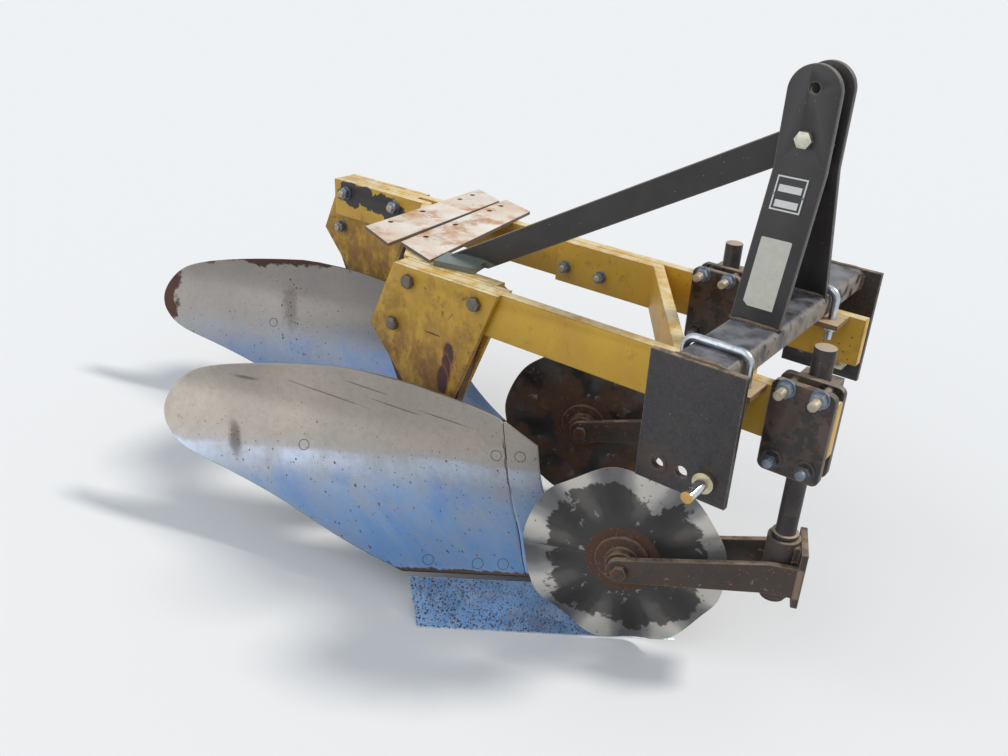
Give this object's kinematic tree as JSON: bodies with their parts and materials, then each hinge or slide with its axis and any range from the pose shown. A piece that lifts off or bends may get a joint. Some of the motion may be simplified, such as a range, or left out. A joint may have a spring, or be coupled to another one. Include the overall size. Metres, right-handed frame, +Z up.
{
  "type": "moldboard plough",
  "caption": "Mounted moldboard plough for a three-point hitch, with curved soil-turning bottoms set one behind the other and a caster-mounted wavy coulter disc ahead of each.",
  "frame": {"origin": "middle of the bounding box on the ground", "axes": "+X forward along the tow line, +Y to the plough's left, towards unploughed land, +Z up; the bottoms throw the soil to the right, -Y"},
  "size_m": [2.0283, 1.0018, 1.151],
  "materials": {
    "black_paint": "satin black paint, worn and dusty, with rust at the edges",
    "yellow_paint": "worn golden yellow paint with rust specks and bare patches",
    "tan_paint": "faded yellow-tan paint with rust",
    "zinc_yellow": "yellowish zinc plate",
    "zinc": "dull zinc plate",
    "rusted_steel": "brown rusted steel",
    "worn_steel": "ground-polished steel with scratches and rust at the tail",
    "share_steel": "ground-worn steel with dark pits",
    "spare_steel": "pale steel under a thin rust",
    "rusty_black": "rusted black paint with scratches",
    "disc_steel": "dark worn steel, polished in patches"
  },
  "bodies": {
    "frame": {"crossbar": "black_paint", "hitch_plate_right": "black_paint", "hitch_plate_left": "black_paint", "hitch_pin_right": "zinc_yellow", "hitch_pin_left": "zinc_yellow", "mast_plate_right": "black_paint", "mast_plate_left": "black_paint", "mast_bolt": "zinc", "mast_brace": "black_paint", "beam_right": "yellow_paint", "beam_left": "yellow_paint", "front_tie": "yellow_paint", "rear_tie": "yellow_paint", "strap_plate_right": "tan_paint", "strap_plate_left": "tan_paint", "u_bolt_right": "zinc", "u_bolt_left": "zinc", "standard_plates_right": "yellow_paint", "standard_plates_left": "yellow_paint", "frog_right": "rusted_steel", "frog_left": "rusted_steel", "moldboard_right": "worn_steel", "moldboard_left": "worn_steel", "shin_right": "worn_steel", "shin_left": "worn_steel", "share_right": "share_steel", "share_left": "share_steel", "landside_right": "rusted_steel", "landside_left": "rusted_steel", "board_brace_right": "rusted_steel", "board_brace_left": "rusted_steel", "spare_shares": "spare_steel", "coulter_clamp_right": "rusty_black", "coulter_clamp_left": "rusty_black", "coulter_shank_right": "rusty_black", "coulter_shank_left": "rusty_black"},
    "yoke_right": {"coulter_yoke_right": "rusty_black", "coulter_axle_right": "rusted_steel"},
    "disc_right": {"coulter_disc_right": "disc_steel"},
    "yoke_left": {"coulter_yoke_left": "rusty_black", "coulter_axle_left": "rusted_steel"},
    "disc_left": {"coulter_disc_left": "disc_steel"}
  },
  "joints": [
    {"name": "coulter_swivel_right", "type": "hinge", "parent": "frame", "child": "yoke_right", "pos_m": [0.955, -0.08275, 0.27], "axis": [0, 0, 1], "range_deg": [-1, 22]},
    {"name": "disc_spin_right", "type": "hinge", "parent": "yoke_right", "child": "disc_right", "pos_m": [0.68437, -0.19762, 0.2112], "axis": [0.3907, -0.9205, 0], "continuous": true},
    {"name": "coulter_swivel_left", "type": "hinge", "parent": "frame", "child": "yoke_left", "pos_m": [0.595, 0.32365, 0.27], "axis": [0, 0, 1], "range_deg": [-68, 22]},
    {"name": "disc_spin_left", "type": "hinge", "parent": "yoke_left", "child": "disc_left", "pos_m": [0.32437, 0.20878, 0.2112], "axis": [0.3907, -0.9205, 0], "continuous": true}
  ]
}
